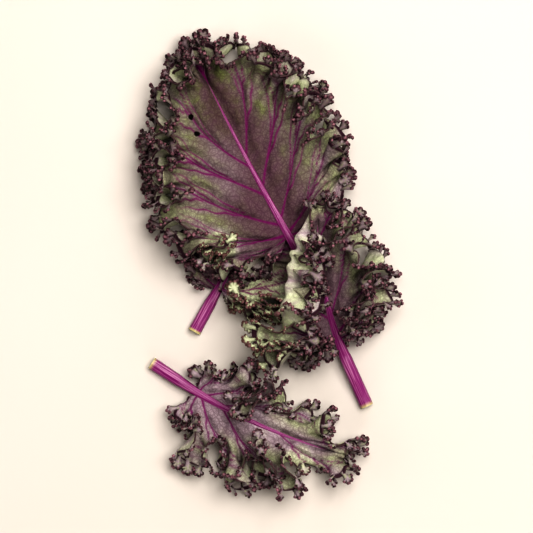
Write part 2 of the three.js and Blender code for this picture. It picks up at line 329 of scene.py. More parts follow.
def in_zone(shares, start, end):
    """Rises from 0 to 1 between two shares of the way from rib to rim that differ by column."""
    return smooth(shares, start[:, None], end[:, None])


def zones_of(leaf, reach):
    """Shares of the way at which lobes, frill and crimp start and at which the frill is full."""
    frill = 1 - np.minimum(MOST_FRILL_ZONE, leaf["frills"]["zone"] / reach)
    return {
        "lobe": 1 - np.minimum(MOST_LOBE_ZONE, leaf["lobes"]["zone"] / reach),
        "frill": frill,
        "full_frill": mix(frill, 1, FULL_FRILL),
        "crimp": np.maximum(FIRST_CRIMP, 1 - CRIMP_ZONE / reach),
        "rim": np.ones_like(reach),
    }


def tilt_of(leaf, angle, waves, zones, middle):
    """The slope of each step from rib to rim, in radians."""
    left_share = (1 + np.sin(angle)) / 2
    slopes = [mix(leaf["right"]["slopes"][i], leaf["left"]["slopes"][i], left_share) for i in (0, 1)]
    from_fold = (angle - np.radians(leaf["fold"]["at"])) / np.radians(leaf["fold"]["spread"])
    fold = leaf["fold"]["turn"] * np.exp(-(from_fold**2))
    in_frill = in_zone(middle, zones["frill"], zones["full_frill"])
    tilt = mix(slopes[0][:, None], slopes[1][:, None], middle)
    tilt += fold[:, None] * smooth(middle, *FOLD_RANGE)
    tilt += (PLEAT * waves["frill"])[:, None] * in_zone(middle, zones["lobe"], zones["frill"])
    tilt += waves["roll"][:, None] * in_frill
    lobe = waves["lobe"][:, None] * in_zone(middle, zones["lobe"], zones["rim"])
    crimp = waves["crimp"][:, None] * in_zone(middle, zones["crimp"], zones["rim"])
    tilt += lobe + waves["frill"][:, None] * in_frill + crimp
    return np.radians(tilt)


def walk(column, step, tilt, turn):
    """Walks each column outwards step by step, tilted up or down and turned sideways."""
    flat = step * np.cos(tilt)
    ax, ay = column["out"][:, :1], column["out"][:, 1:]
    step_x = flat * (ax * np.cos(turn) + ay * np.sin(turn))
    step_y = flat * (ay * np.cos(turn) - ax * np.sin(turn))
    steps = np.stack([step_x, step_y, step * np.sin(tilt)], axis=-1)
    slot = column["slot"]
    start = np.concatenate([slot, np.zeros((len(slot), 1))], axis=1)[:, None, :]
    return np.concatenate([start, start + np.cumsum(steps, axis=1)], axis=1)


print("the crimp takes the last", CRIMP_ZONE, "mm of the rim")

# %% [markdown]
# ## Side veins and their branches
# A magenta vein runs from the midrib to each lobe and forks on its way. Veins could be drawn as an image
# or as thin tubes. Here each point of the grid is told how near it lies to a vein, so that the colour and
# the puckering between the veins always agree.

# %% Side veins and their branches
VEIN_HALF_WIDTH = (0.55, 0.24)
VEIN_LEAN = 1.3
VEIN_ARCH = 1.6
VEIN_WIGGLE = 0.06
VEIN_WIGGLE_RATE = 9
VEIN_FADE = (0.6, 1)
HALO_WIDTH = 2.1
BRANCHES = ((0.14, 1, 0.58), (0.28, -1, 0.62), (0.4, 1, 0.46), (0.52, -1, 0.5))
BRANCH_HALF_WIDTH = (0.34, 0.22)
BRANCH_ARCH = 0.85
BRANCH_WIGGLE = 0.02
BRANCH_WIGGLE_RATE = 30
BRANCH_RISE = (0, 0.05)
BRANCH_FADE = (0.35, 0.95)
BRANCH_VEIN = 0.9
BRANCH_HALO = 0.6


def bell(away, width):
    return np.exp(-((away / width) ** 2))


def vein_pattern(leaf, m, shares, spacing):
    """How strongly each grid point lies on a vein, and how near it is to one, both from 0 to 1."""
    veins = np.zeros_like(shares)
    halo = np.zeros_like(shares)
    fade = 1 - smooth(shares, *VEIN_FADE)
    for k in range(leaf["lobes"]["count"]):
        from_middle = k + 0.5 - leaf["lobes"]["count"] / 2
        to_foot = np.sign(from_middle) * min(1, abs(from_middle))
        wiggle = VEIN_WIGGLE * np.sin(VEIN_WIGGLE_RATE * shares + leaf["seed"] * k) * shares
        main = k + 0.5 + wiggle + VEIN_LEAN * to_foot * (1 - shares) ** VEIN_ARCH
        away = np.abs(m[:, None] - main) * spacing
        veins = np.maximum(veins, fade * bell(away, mix(*VEIN_HALF_WIDTH, shares)))
        halo = np.maximum(halo, bell(away, HALO_WIDTH))
        for start, side, spread in BRANCHES:
            past = np.clip((shares - start) / (1 - start), 0, 1)
            wiggle = BRANCH_WIGGLE * np.sin(BRANCH_WIGGLE_RATE * past + k)
            branch = main + side * spread * past**BRANCH_ARCH + wiggle
            away = np.abs(m[:, None] - branch) * spacing
            grown = smooth(past, *BRANCH_RISE) * (1 - smooth(past, *BRANCH_FADE))
            veins = np.maximum(veins, BRANCH_VEIN * grown * bell(away, mix(*BRANCH_HALF_WIDTH, past)))
            halo = np.maximum(halo, BRANCH_HALO * grown * bell(away, HALO_WIDTH))
    return veins, halo


print("one side vein to a lobe, with", len(BRANCHES), "branches each")

# %% [markdown]
# ## From rule to sheet
# Now the rule is put to work: the columns are walked, the blade is puckered between its veins, and the
# leaf is bent into place. Where it would sink into the table it is eased up, as a soft leaf would be.

# %% Grow the sheets
BLADE_THICKNESS = 0.45
FLOOR_SOFTNESS = 0.9
MOST_NOTCH = 0.5
PUCKER = 1.6
PUCKER_START = (0.02, 0.2)
HAND_FULLNESS = (0.75, 1.15)


def ease_off_table(points):
    clear = points[..., 2] - BLADE_THICKNESS / 2
    eased = np.exp(np.minimum(clear, FLOOR_SOFTNESS) / FLOOR_SOFTNESS - 1)
    low = BLADE_THICKNESS / 2 + FLOOR_SOFTNESS * eased
    points[..., 2] = np.where(clear < FLOOR_SOFTNESS, low, points[..., 2])
    return points


def vein_spacing(column, shares):
    """How many millimetres of flat blade lie between one vein and the next, at each grid point."""
    lengths = (column["reach"][:, None] * shares)[:, :, None]
    flat_points = column["slot"][:, None, :] + column["out"][:, None, :] * lengths
    return np.linalg.norm(np.gradient(flat_points, column["m"], axis=0), axis=2)


def grow_sheet(leaf):
    """The blade's middle surface: points in mm by column and row, and what the finish needs to know."""
    column = lay_columns(leaf)
    m, angle, reach = column["m"], column["angle"], column["reach"]
    waves = rim_waves(leaf, m, liveliness(leaf, column))
    zones = zones_of(leaf, reach)
    shares = row_shares(zones["lobe"], zones["frill"])
    middle = (shares[:, 1:] + shares[:, :-1]) / 2

    depth, sinus = leaf["lobes"]["depth"], leaf["lobes"]["sinus"]
    notch = np.minimum(depth * (1 - np.abs(np.sin(np.pi * m)) ** sinus), MOST_NOTCH * reach)
    in_lobe = in_zone(shares, zones["lobe"], zones["rim"])
    distance = reach[:, None] * shares - notch[:, None] * in_lobe**2
    tilt = tilt_of(leaf, angle, waves, zones, middle)
    turn = np.radians(waves["fan"][:, None] * in_zone(middle, zones["frill"], zones["full_frill"]))
    walked = walk(column, np.diff(distance, axis=1), tilt, turn)

    veins, halo = vein_pattern(leaf, m, shares, vein_spacing(column, shares))
    calm_rib = smooth(shares, *PUCKER_START) * (1 - smooth(shares, zones["frill"][:, None], 1))
    walked[:, :, 2] += PUCKER * (1 - halo) * calm_rib
    return {
        "points": ease_off_table(place(leaf, walked[..., 0], walked[..., 1], walked[..., 2])),
        "shares": shares,
        "from_rim": distance[:, -1:] - distance,
        "veins": veins,
        "halo": halo,
        "forward": (1 + np.cos(angle)) / 2,
        "hand_size": mix(*HAND_FULLNESS, np.abs(np.sin(waves["wave"])) ** 2),
    }


sheets = {name: grow_sheet(leaf) for name, leaf in LEAVES.items()}
for name, sheet in sheets.items():
    low, high = sheet["points"].min(axis=(0, 1)), sheet["points"].max(axis=(0, 1))
    print(name, "sheet", sheet["points"].shape[:2], "from", low.round(1), "to", high.round(1))

# %% [markdown]
# ## Helpers for finishes
# A finish is a small net of shader nodes. It could be wired by hand in the Shader Editor, but short helpers
# that add a node, link it and hand back its output make a finish read like a sum.

# %% Material helpers
MIX_COLOURS = (6, 7)
MIX_RESULT = 2


def finish(name, roughness=0.5):
    """A new material, its Principled shader, its links, and a function that adds a node with its inputs."""
    material = bpy.data.materials.new(name)
    material.use_nodes = True
    tree = material.node_tree
    shader = tree.nodes["Principled BSDF"]
    shader.inputs["Roughness"].default_value = roughness

    def add(kind, inputs=(), **settings):
        node = tree.nodes.new(kind)
        for key, value in settings.items():
            setattr(node, key, value)
        for socket, value in dict(inputs).items():
            if isinstance(value, bpy.types.NodeSocket):
                tree.links.new(value, node.inputs[socket])
            else:
                node.inputs[socket].default_value = value
        return node

    return material, shader, tree.links, add


def blend_colour(add, factor, first, second):
    """A colour mix; its inputs are colours or sockets."""
    node = add("ShaderNodeMix", {0: factor}, data_type="RGBA", clamp_factor=True)
    for slot, value in zip(MIX_COLOURS, (first, second)):
        if isinstance(value, bpy.types.NodeSocket):
            node.id_data.links.new(value, node.inputs[slot])
        else:
            node.inputs[slot].default_value = (*value, 1)
    return node.outputs[MIX_RESULT]


def ramp(add, value, low, high):
    node = add("ShaderNodeMapRange", {"Value": value, "From Min": low, "From Max": high})
    return node.outputs["Result"]


def combine(add, operation, first, second):
    return add("ShaderNodeMath", {0: first, 1: second}, operation=operation).outputs[0]


def times(add, first, second):
    return combine(add, "MULTIPLY", first, second)


def attribute(add, name):
    return add("ShaderNodeAttribute", attribute_name=name).outputs["Fac"]


def noise(add, vector, scale, detail, output="Fac"):
    return add("ShaderNodeTexNoise", {"Vector": vector, "Scale": scale, "Detail": detail}).outputs[output]


def add_bumps(add, links, shader, *layers):
    """Stacks bumps on a finish, each given as its height, its strength and its depth in metres."""
    target = shader
    for height, strength, depth in reversed(layers):
        bump = add("ShaderNodeBump", {"Height": height, "Strength": strength, "Distance": depth})
        links.new(bump.outputs["Normal"], target.inputs["Normal"])
        target = bump


helpers = (finish, blend_colour, ramp, combine, times, attribute, noise, add_bumps)
print("helpers:", ", ".join(helper.__name__ for helper in helpers))

# %% [markdown]
# ## Blade finishes
# The blade's colour follows the leaf and not the table: grey-mauve beside the veins, olive between them,
# fresh green where the lobes turn, and dark purple along the rim. The numbers for that are stored on the
# mesh as attributes when it is made, and the finish reads them. The net of fine veins is too fine for the
# mesh, so it comes from Voronoi cells. The under side is paler and has the same build.

# %% Colours and grain of the blade
GREY_MAUVE = (0.135, 0.078, 0.1)
OLIVE = (0.08, 0.08, 0.022)
FRESH_GREEN = (0.14, 0.17, 0.03)
PALE_GREEN = (0.56, 0.6, 0.43)
PALE_LAVENDER = (0.54, 0.46, 0.51)
MOTTLE = (260.0, 4.0)
PATCHES = (150.0, 1.0)
WAVER = (500.0, 2.0)
WAVER_SHIFT = 0.0011
NETS = ((560.0, 0.11, 1.0), (1400.0, 0.2, 0.7))
FRESH_GREENS = (0.6, 1.0)
FRESH_MOTTLE = (0.48, 0.68)
LESS_PALE = (1.0, 0.8)
MAUVE_PATCHES = (1.4, 0.9)
PALE_MOTTLE = (0.0, 0.5)


def blade_grain(add):
    """Fine mottle, broad patches, and coordinates that waver a little, so that no line is quite straight."""
    here = add("ShaderNodeTexCoord").outputs["Object"]
    waver = noise(add, here, *WAVER, output="Color")
    shift = add("ShaderNodeVectorMath", {0: waver, "Scale": WAVER_SHIFT}, operation="SCALE").outputs[0]
    wavy = add("ShaderNodeVectorMath", {0: here, 1: shift}, operation="ADD").outputs[0]
    return noise(add, here, *MOTTLE), noise(add, here, *PATCHES), wavy


def blade_net(add, wavy):
    """The net of fine veins: large meshes, and weaker small ones inside them, from 0 to 1."""
    net = []
    for scale, width, strength in NETS:
        cells = add("ShaderNodeTexVoronoi", {"Vector": wavy, "Scale": scale}, feature="DISTANCE_TO_EDGE")
        net.append(times(add, ramp(add, cells.outputs["Distance"], width, 0.0), strength))
    return combine(add, "MAXIMUM", *net)


def upper_colour(add, green, greenness, mottle):
    colour = blend_colour(add, green, GREY_MAUVE, OLIVE)
    bright = times(add, ramp(add, greenness, *FRESH_GREENS), ramp(add, mottle, *FRESH_MOTTLE))
    return blend_colour(add, bright, colour, FRESH_GREEN)


def add_pale(add, colour, known, mottle, patches):
    """Pale lobes: green where they are palest, and lavender in patches elsewhere."""
    greenish = combine(add, "ADD", known["green"], patches)
    mauve = times(add, ramp(add, known["pale"], *LESS_PALE), ramp(add, greenish, *MAUVE_PATCHES))
    bloom = blend_colour(add, mauve, PALE_GREEN, PALE_LAVENDER)
    return blend_colour(add, times(add, known["pale"], ramp(add, mottle, *PALE_MOTTLE)), colour, bloom)


print("net of fine veins in", len(NETS), "sizes")

# %% Blade finishes
VEIN_MAGENTA = (0.16, 0.006, 0.11)
RIM_PURPLE = (0.054, 0.024, 0.037)
NET_PURPLE = (0.045, 0.008, 0.03)
NET_STRENGTH = 0.5
UNDER_NET_STRENGTH = 0.25
UNDER_VEIN = (0.3, 0.2, 0.26)
UNDER_VEIN_STRENGTH = 0.6
UNDER_GREY = (0.66, 0.6, 0.6)
UNDER_GREEN = (0.5, 0.54, 0.36)
BLADE_GLOSS = 0.05
BLADE_ROUGHNESS = (-1.2, 1.6)
# Two small near-black spots with ragged edges, on the large leaf.
DARK_SPOTS = ((-18.6, 36.6, 1.1), (-20, 41.3, 0.8))
DARK_SPOT_COLOUR = (0.005, 0.004, 0.003)
DARK_SPOT_RAGGED = 3
DARK_SPOT_EDGE = 0.3
GREEN_MOTTLE = (0.3, 0.62)
RIM_PATCHES = (0.3, 0.75)
RIM_EDGE = (0.0, 0.3)
NET_BUMP = (0.3, 0.0002)
SWELL_BUMP = (0.6, 0.0018)


def add_dark_spots(add, colour, wavy, mottle):
    """Small dark spots with ragged edges."""
    level = add("ShaderNodeVectorMath", {0: wavy, 1: (1, 1, 0)}, operation="MULTIPLY").outputs[0]
    for x, y, size in DARK_SPOTS:
        away = add("ShaderNodeVectorMath", {0: level, 1: (x * MM, y * MM, 0)}, operation="DISTANCE")
        terms = {0: mottle, 1: DARK_SPOT_RAGGED * MM, 2: away.outputs["Value"]}
        ragged = add("ShaderNodeMath", terms, operation="MULTIPLY_ADD").outputs[0]
        outer = (size + DARK_SPOT_RAGGED / 2) * MM
        spot = ramp(add, ragged, outer, outer - DARK_SPOT_EDGE * size * MM)
        colour = blend_colour(add, spot, colour, DARK_SPOT_COLOUR)
    return colour


def blade_finish(name, under):
    material, shader, links, add = finish(name)
    shader.inputs["Specular IOR Level"].default_value = BLADE_GLOSS
    known = {key: attribute(add, key) for key in ("green", "vein", "rim", "pale")}
    mottle, patches, wavy = blade_grain(add)
    net = blade_net(add, wavy)
    green = times(add, known["green"], ramp(add, mottle, *GREEN_MOTTLE))
    if under:
        colour = blend_colour(add, green, UNDER_GREY, UNDER_GREEN)
        colour = add_pale(add, colour, known, mottle, patches)
        colour = blend_colour(add, times(add, net, UNDER_NET_STRENGTH), colour, NET_PURPLE)
        colour = blend_colour(add, times(add, known["vein"], UNDER_VEIN_STRENGTH), colour, UNDER_VEIN)
    else:
        colour = upper_colour(add, green, known["green"], mottle)
        colour = add_pale(add, colour, known, mottle, patches)
        colour = blend_colour(add, times(add, net, NET_STRENGTH), colour, NET_PURPLE)
        colour = blend_colour(add, known["vein"], colour, VEIN_MAGENTA)
        colour = add_dark_spots(add, colour, wavy, mottle)
    edge = combine(add, "SUBTRACT", known["rim"], ramp(add, patches, *RIM_PATCHES))
    colour = blend_colour(add, ramp(add, edge, *RIM_EDGE), colour, RIM_PURPLE)
    links.new(colour, shader.inputs["Base Color"])
    links.new(ramp(add, mottle, *BLADE_ROUGHNESS), shader.inputs["Roughness"])
    add_bumps(add, links, shader, (net, *NET_BUMP), (mottle, *SWELL_BUMP))
    return material


blade_upper = blade_finish("kale_blade_upper", under=False)
blade_under = blade_finish("kale_blade_under", under=True)
print("finishes:", blade_upper.name, blade_under.name)

# %% [markdown]
# ## Knob finish
# The hands of the rim are nearly black purple, with a painted pinkish highlight on top of each knob and
# palms that are paler where the leaf is. One finish does for all of them, because each hand carries its own
# paleness.

# %% Knob finish
KNOB_PURPLE = (0.024, 0.008, 0.013)
# Painted highlight: a pinkish colour laid on the top of each knob.
KNOB_PAINTED_HIGHLIGHT = (0.33, 0.18, 0.215)
KNOB_PALE = (0.16, 0.09, 0.07)
PALM_DARK = (0.085, 0.05, 0.055)
PALM_BLOOM = 0.8
PALE_FINGER = 0.2
KNOB_GLOSS = 0.2
KNOB_ROUGHNESS = 0.42
KNOB_TINT = (900.0, 2.0)
MAUVE_TINT = (0.34, 0.54)
# How strongly each knob takes the painted highlight, by a noise tint.
PAINTED_HIGHLIGHT_TINT = (0.38, 0.7)
PALE_KNOBS = (0.8, 1.2)
KNOB_START = (0.2, 0.5)
KNOB_BUMP = (0.3, 0.0002)


def knob_finish():
    material, shader, links, add = finish("kale_knob", KNOB_ROUGHNESS)
    shader.inputs["Specular IOR Level"].default_value = KNOB_GLOSS
    tip, pale, edge = (attribute(add, key) for key in ("knob", "pale", "rim"))
    tint = noise(add, add("ShaderNodeTexCoord").outputs["Object"], *KNOB_TINT)
    mauve = times(add, ramp(add, pale, *LESS_PALE), ramp(add, tint, *MAUVE_TINT))
    bloom = blend_colour(add, mauve, PALE_GREEN, PALE_LAVENDER)
    bloomed = times(add, times(add, pale, PALM_BLOOM), ramp(add, edge, 1.0, 0.0))
    palm = blend_colour(add, bloomed, PALM_DARK, bloom)
    # Painted highlight: pink on the top of each knob, stronger on some knobs than on others.
    knob = blend_colour(add, times(add, tip, ramp(add, tint, *PAINTED_HIGHLIGHT_TINT)), KNOB_PURPLE, KNOB_PAINTED_HIGHLIGHT)
    knob = blend_colour(add, ramp(add, pale, *PALE_KNOBS), knob, KNOB_PALE)
    dark = combine(add, "SUBTRACT", tip, times(add, pale, PALE_FINGER))
    colour = blend_colour(add, ramp(add, dark, *KNOB_START), palm, knob)
    links.new(colour, shader.inputs["Base Color"])
    add_bumps(add, links, shader, (tint, *KNOB_BUMP))
    return material


knob_material = knob_finish()
print("finish:", knob_material.name)

# %% [markdown]
# ## One hand of the rim
# The rim of curly kale ends in small hands: a short palm that widens outwards, with a few stubby fingers
# and a thick knob on each. They could be sculpted or be round spheres on stems. Here a finger is extruded
# from a square, ring by ring, and the palm is a finger made wide and thin. Smooth shading rounds them, so
# a hand gets by with 56 to 84 faces, which counts because it is copied hundreds of times.

# %% Model a finger and the hands
FINGER_SIDES = 4
FINGER_RINGS = ((0.3, 0.42), (0.98, 0.74), (1.5, 0.46))
FINGER_ROOT = -0.6
FINGER_ROOT_RADIUS = 0.42
PALM_SIZE = (1.75, 0.7, 1.5)
PALM_CENTRE = 1.2
PALM_RADIUS = 0.6
PALM_CUP = 0.05


def model_finger():
    bpy.ops.mesh.primitive_circle_add(vertices=FINGER_SIDES, radius=FINGER_ROOT_RADIUS, fill_type="NGON")
    finger = bpy.context.object
    bpy.ops.object.mode_set(mode="EDIT")
    bpy.ops.transform.translate(value=(0, 0, FINGER_ROOT))
    height, radius = FINGER_ROOT, FINGER_ROOT_RADIUS
    for next_height, next_radius in FINGER_RINGS:
        move = {"value": (0, 0, next_height - height)}
        bpy.ops.mesh.extrude_region_move(TRANSFORM_OT_translate=move)
        size = next_radius / radius
        bpy.ops.transform.resize(value=(size, size, 1), center_override=(0, 0, next_height))
        height, radius = next_height, next_radius
    bpy.ops.mesh.select_all(action="SELECT")
    bpy.ops.mesh.normals_make_consistent(inside=False)
    bpy.ops.object.mode_set(mode="OBJECT")
    return finger


def mesh_arrays(obj):
    """Points and faces; the faces are sorted, because an extrusion may list them in a new order each run."""
    points = np.array([v.co for v in obj.data.vertices])
    return points, sorted(tuple(p.vertices) for p in obj.data.polygons)


def hand(points, faces, spread, sizes):
    """A palm with fingers set round it: its points, faces, and how near each point is to a knob's top."""
    top = np.clip(points[:, 2] / FINGER_RINGS[-1][0], 0, 1)
    all_points, all_faces, all_tops = [points * PALM_SIZE], list(faces), [0 * top]
    for angle, size in zip(spread, sizes):
        a = np.radians(angle)
        turn = np.array([[np.cos(a), 0, np.sin(a)], [0, 1, 0], [-np.sin(a), 0, np.cos(a)]])
        shift = len(all_points) * len(points)
        centre = (0, 0, PALM_CENTRE)
        all_points.append(centre + (size * points + (0, 0, PALM_RADIUS)) @ turn.T)
        all_faces += [tuple(i + shift for i in face) for face in faces]
        all_tops.append(top)
    made = np.concatenate(all_points)
    made[:, 1] += PALM_CUP * np.maximum(made[:, 2], 0) ** 2
    return made, all_faces, np.concatenate(all_tops)


finger = model_finger()
finger_points, finger_faces = mesh_arrays(finger)
bpy.data.objects.remove(finger)
HANDS = [
    hand(finger_points, finger_faces, (-50, 0, 48), (0.9, 1, 0.85)),
    hand(finger_points, finger_faces, (-70, -22, 26, 72), (0.85, 0.95, 1, 0.8)),
    hand(finger_points, finger_faces, (-82, -42, 0, 40, 84), (0.8, 0.9, 0.95, 0.9, 0.75)),
]
print("hands with", [len(faces) for _, faces, _ in HANDS], "faces")

# %% [markdown]
# ## Hands along a rim
# The hands stand along the whole rim and point outwards from it. An array along a curve would set them all
# alike, so each one is set by rule instead, with a chance tilt, lean, twist, size and paleness. The chances
# come from a seeded generator, so every run gives the same leaf.

# %% Set hands along a rim
HAND_SPACING = 3.5
HAND_SHIFT = 0.4
HAND_CHANCES = (0.4, 0.4, 0.2)
HAND_SIZE = (0.75, 1.1)
HAND_LENGTH = 3
HAND_CLEAR = 0.3
HAND_FLOOR = 0.05
HAND_BLOOM = 0.5
HAND_TILT = 0.5
HAND_LEAN = 0.25
HAND_TWIST = 0.5
RIM_ROWS = 4


def unit(vectors):
    return vectors / np.linalg.norm(vectors, axis=-1, keepdims=True)


def stand_hand(base, along, outward, fullness, draw):
    """The size and axes of one hand at a spot of the rim; it stays clear of the table."""
    out = unit(outward - along * (outward @ along))
    face = np.cross(along, out)
    out = unit(out + HAND_TILT * draw.normal() * face + HAND_LEAN * draw.normal() * along)
    size = draw.uniform(*HAND_SIZE) * fullness
    out[2] = max(out[2], (HAND_CLEAR - base[2]) / (HAND_LENGTH * size))
    out = unit(out)
    along = unit(along + HAND_TWIST * draw.normal() * face)
    along = unit(along - out * (along @ out))
    return size, np.stack([along, draw.choice([-1, 1]) * np.cross(out, along), out])


def hands_along(sheet, draw):
    """All hands of one rim: points, faces, and by point how near a knob's top it is, its root and bloom."""
    rim = sheet["points"][:, -1]
    outward = unit(rim - sheet["points"][:, -RIM_ROWS])
    lengths = np.concatenate([[0], np.cumsum(np.linalg.norm(np.diff(rim, axis=0), axis=1))])
    spots = np.arange(HAND_SPACING / 2, lengths[-1], HAND_SPACING)
    shifts = draw.uniform(-HAND_SHIFT, HAND_SHIFT, len(spots)) * HAND_SPACING
    spots = np.clip(spots + shifts, 0, lengths[-1])
    point_lists, faces, tops, bases, blooms, total = [], [], [], [], [], 0
    for spot in spots:
        base = np.array([np.interp(spot, lengths, rim[:, i]) for i in range(3)])
        c = int(np.clip(np.searchsorted(lengths, spot), 1, len(rim) - 1))
        along = unit(rim[c] - rim[c - 1])
        size, axes = stand_hand(base, along, outward[c], sheet["hand_size"][c], draw)
        points, hand_faces, hand_tops = HANDS[draw.choice(len(HANDS), p=HAND_CHANCES)]
        placed = base + size * points @ axes
        placed[:, 2] = np.maximum(placed[:, 2], HAND_FLOOR)
        turned = np.linalg.det(axes) < 0
        faces += [tuple(i + total for i in (f[::-1] if turned else f)) for f in hand_faces]
        point_lists.append(placed)
        tops.append(hand_tops)
        bases.append(np.tile(base, (len(points), 1)))
        blooms.append(np.full(len(points), HAND_BLOOM * draw.uniform()))
        total += len(points)
    made = [np.concatenate(parts) for parts in (point_lists, tops, bases, blooms)]
    return made[0], faces, *made[1:]


print("one hand for every", HAND_SPACING, "mm of rim")

# %% [markdown]
# ## Making the blades
# A blade could be modelled by pulling at a grid for hours. Here a plain grid is added, and its points are
# carried to the grown sheet. Solidify then gives it the thickness of a leaf, with a finish of its own on
# the under side and the rim. Last, the hands are joined to it, so that each leaf has one blade.

# %% Attributes of a blade
RIM_FULL = 1.15
RIM_WIDTH = 1.4
GREEN_OUTWARD = 0.85
GREEN_RANGE = (0, 0.7)
GREEN_FORWARD = 0.45
VEIN_GREY = 0.6
PALE_RANGE = (0.1, 0.85)
SPOT_EDGE = (0.6, 1.2)
PALE_SPOTS = {
    # On the large leaf, the wide, weak second spot is painted light: it lightens the left half, which faces
    # the light.
    "large_leaf": ((-13, 5, 6.5, 1), (-20, 24, 15, 0.3)),
    "folded_leaf": ((-2, -18, 14, 1),),
    "under_leaf": ((-2, -12, 13, 1),),
    "small_leaf": ((0, -42, 7, 0.8), (9, -52, 5, 0.9)),
}


def set_attribute(mesh, name, values):
    layer = mesh.attributes.new(name, "FLOAT", "POINT")
    layer.data.foreach_set("value", np.ascontiguousarray(values, dtype=np.float32).ravel())


def pale_at(name, points, outward):
    """How pale the leaf is at some points: more so towards the rim, and in a few spots."""
    pale = mix(*LEAVES[name]["tones"], outward)
    for x, y, size, strength in PALE_SPOTS[name]:
        away = np.hypot(points[:, 0] - x, points[:, 1] - y) / size
        pale = np.maximum(pale, strength * (1 - smooth(away, *SPOT_EDGE)))
    return pale


def set_blade_attributes(name, mesh, sheet, c, r):
    """Stores what the finish reads; `c` and `r` are the column and row of each vertex."""
    shares = sheet["shares"][c, r]
    greens = GREEN_OUTWARD * smooth(shares, *GREEN_RANGE) + GREEN_FORWARD * sheet["forward"][c]
    set_attribute(mesh, "vein", sheet["veins"][c, r])
    set_attribute(mesh, "rim", np.clip(RIM_FULL - sheet["from_rim"][c, r] / RIM_WIDTH, 0, 1))
    set_attribute(mesh, "green", np.clip(greens * (1 - VEIN_GREY * sheet["halo"][c, r]), 0, 1))
    set_attribute(mesh, "pale", pale_at(name, sheet["points"][c, r], smooth(shares, *PALE_RANGE)))


print("pale spots:", sum(len(spots) for spots in PALE_SPOTS.values()))

# %% Make the blades
HAND_TONE = 0.45
HAND_SEED = 7


def make_blade(name, sheet):
    columns, rows = sheet["points"].shape[:2]
    bpy.ops.object.select_all(action="DESELECT")
    bpy.ops.mesh.primitive_grid_add(x_subdivisions=columns - 1, y_subdivisions=rows - 1, size=1)
    blade = bpy.context.object
    blade.name = f"{name}_blade_looks"
    mesh = blade.data
    grid = np.array([v.co for v in mesh.vertices])
    c = np.rint((grid[:, 0] + 0.5) * (columns - 1)).astype(int)
    r = np.rint((grid[:, 1] + 0.5) * (rows - 1)).astype(int)
    mesh.vertices.foreach_set("co", (sheet["points"][c, r] * MM).ravel())
    set_blade_attributes(name, mesh, sheet, c, r)
    mesh.update()
    for material in (blade_upper, blade_under, knob_material):
        mesh.materials.append(material)
    solid = blade.modifiers.new("thickness", "SOLIDIFY")
    solid.thickness = BLADE_THICKNESS * MM
    solid.offset = 0
    solid.material_offset = 1
    solid.material_offset_rim = 2
    bpy.ops.object.modifier_apply(modifier="thickness")
    bpy.ops.object.shade_smooth()
    return blade


def make_hands(name, sheet):
    draw = np.random.default_rng(len(name) + HAND_SEED)
    points, faces, tops, bases, blooms = hands_along(sheet, draw)
    mesh = bpy.data.meshes.new(f"{name}_hands")
    mesh.from_pydata((points * MM).tolist(), [], faces)
    set_attribute(mesh, "knob", tops)
    set_attribute(mesh, "pale", np.maximum(pale_at(name, bases, HAND_TONE), blooms))
    mesh.materials.append(knob_material)
    hands = bpy.data.objects.new(f"{name}_hands", mesh)
    bpy.context.collection.objects.link(hands)
    mesh.polygons.foreach_set("use_smooth", [True] * len(mesh.polygons))
    mesh.update()
    return hands


def join(blade, hands):
    bpy.ops.object.select_all(action="DESELECT")
    blade.select_set(True)
    hands.select_set(True)
    bpy.context.view_layer.objects.active = blade
    bpy.ops.object.join()
    return blade


for name, sheet in sheets.items():
    blade = join(make_blade(name, sheet), make_hands(name, sheet))
    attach(blade, "root")
    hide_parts(f"{name}_blade")
    triangles = sum(len(p.vertices) - 2 for p in blade.data.polygons)
    print(blade.name, triangles, "triangles")

# %% [markdown]
# ## Stalk finishes
# The midrib is the thick magenta vein that the blade hangs on, and below the blade it is the bare stalk.
# Fine pale lines run along it. An image could carry them, but a noise that is stretched along the stalk
# does too, on attributes that say how far along and how far round each point lies. The cut face is pale
# green with dots, where the stalk's fibres end.

# %% Stalk finishes
STALK_MAGENTA = (0.2, 0.012, 0.14)
STALK_PALE = (0.44, 0.2, 0.35)
STALK_ROUGHNESS = 0.36
STREAKS_AROUND = 4.0
STREAKS_ALONG = 0.1
STREAK_NOISE = (1.0, 3.0)
STREAK_EDGE = (0.48, 0.68)
STREAK_BUMP = (0.4, 0.0004)
CUT_GREEN = (0.5, 0.46, 0.22)
CUT_FIBRE = (0.36, 0.3, 0.13)
CUT_ROUGHNESS = 0.45
FIBRE_SCALE = 2600.0
FIBRE_EDGE = (0.1, 0.6)


def stalk_finish():
    material, shader, links, add = finish("kale_stalk", STALK_ROUGHNESS)
    around = times(add, attribute(add, "around"), STREAKS_AROUND)
    along = times(add, attribute(add, "along"), STREAKS_ALONG)
    stretched = add("ShaderNodeCombineXYZ", {"X": around, "Y": along}).outputs[0]
    streak = noise(add, stretched, *STREAK_NOISE)
    colour = blend_colour(add, ramp(add, streak, *STREAK_EDGE), STALK_MAGENTA, STALK_PALE)
    colour = blend_colour(add, attribute(add, "fresh"), colour, CUT_GREEN)
    links.new(colour, shader.inputs["Base Color"])
    add_bumps(add, links, shader, (streak, *STREAK_BUMP))
    return material


def cut_finish():
    material, shader, links, add = finish("kale_stalk_cut", CUT_ROUGHNESS)
    here = add("ShaderNodeTexCoord").outputs["Object"]
    fibres = add("ShaderNodeTexVoronoi", {"Vector": here, "Scale": FIBRE_SCALE}).outputs["Distance"]
    colour = blend_colour(add, ramp(add, fibres, *FIBRE_EDGE), CUT_GREEN, CUT_FIBRE)
    links.new(colour, shader.inputs["Base Color"])
    return material


stalk_material = stalk_finish()
cut_material = cut_finish()
print("finishes:", stalk_material.name, cut_material.name)

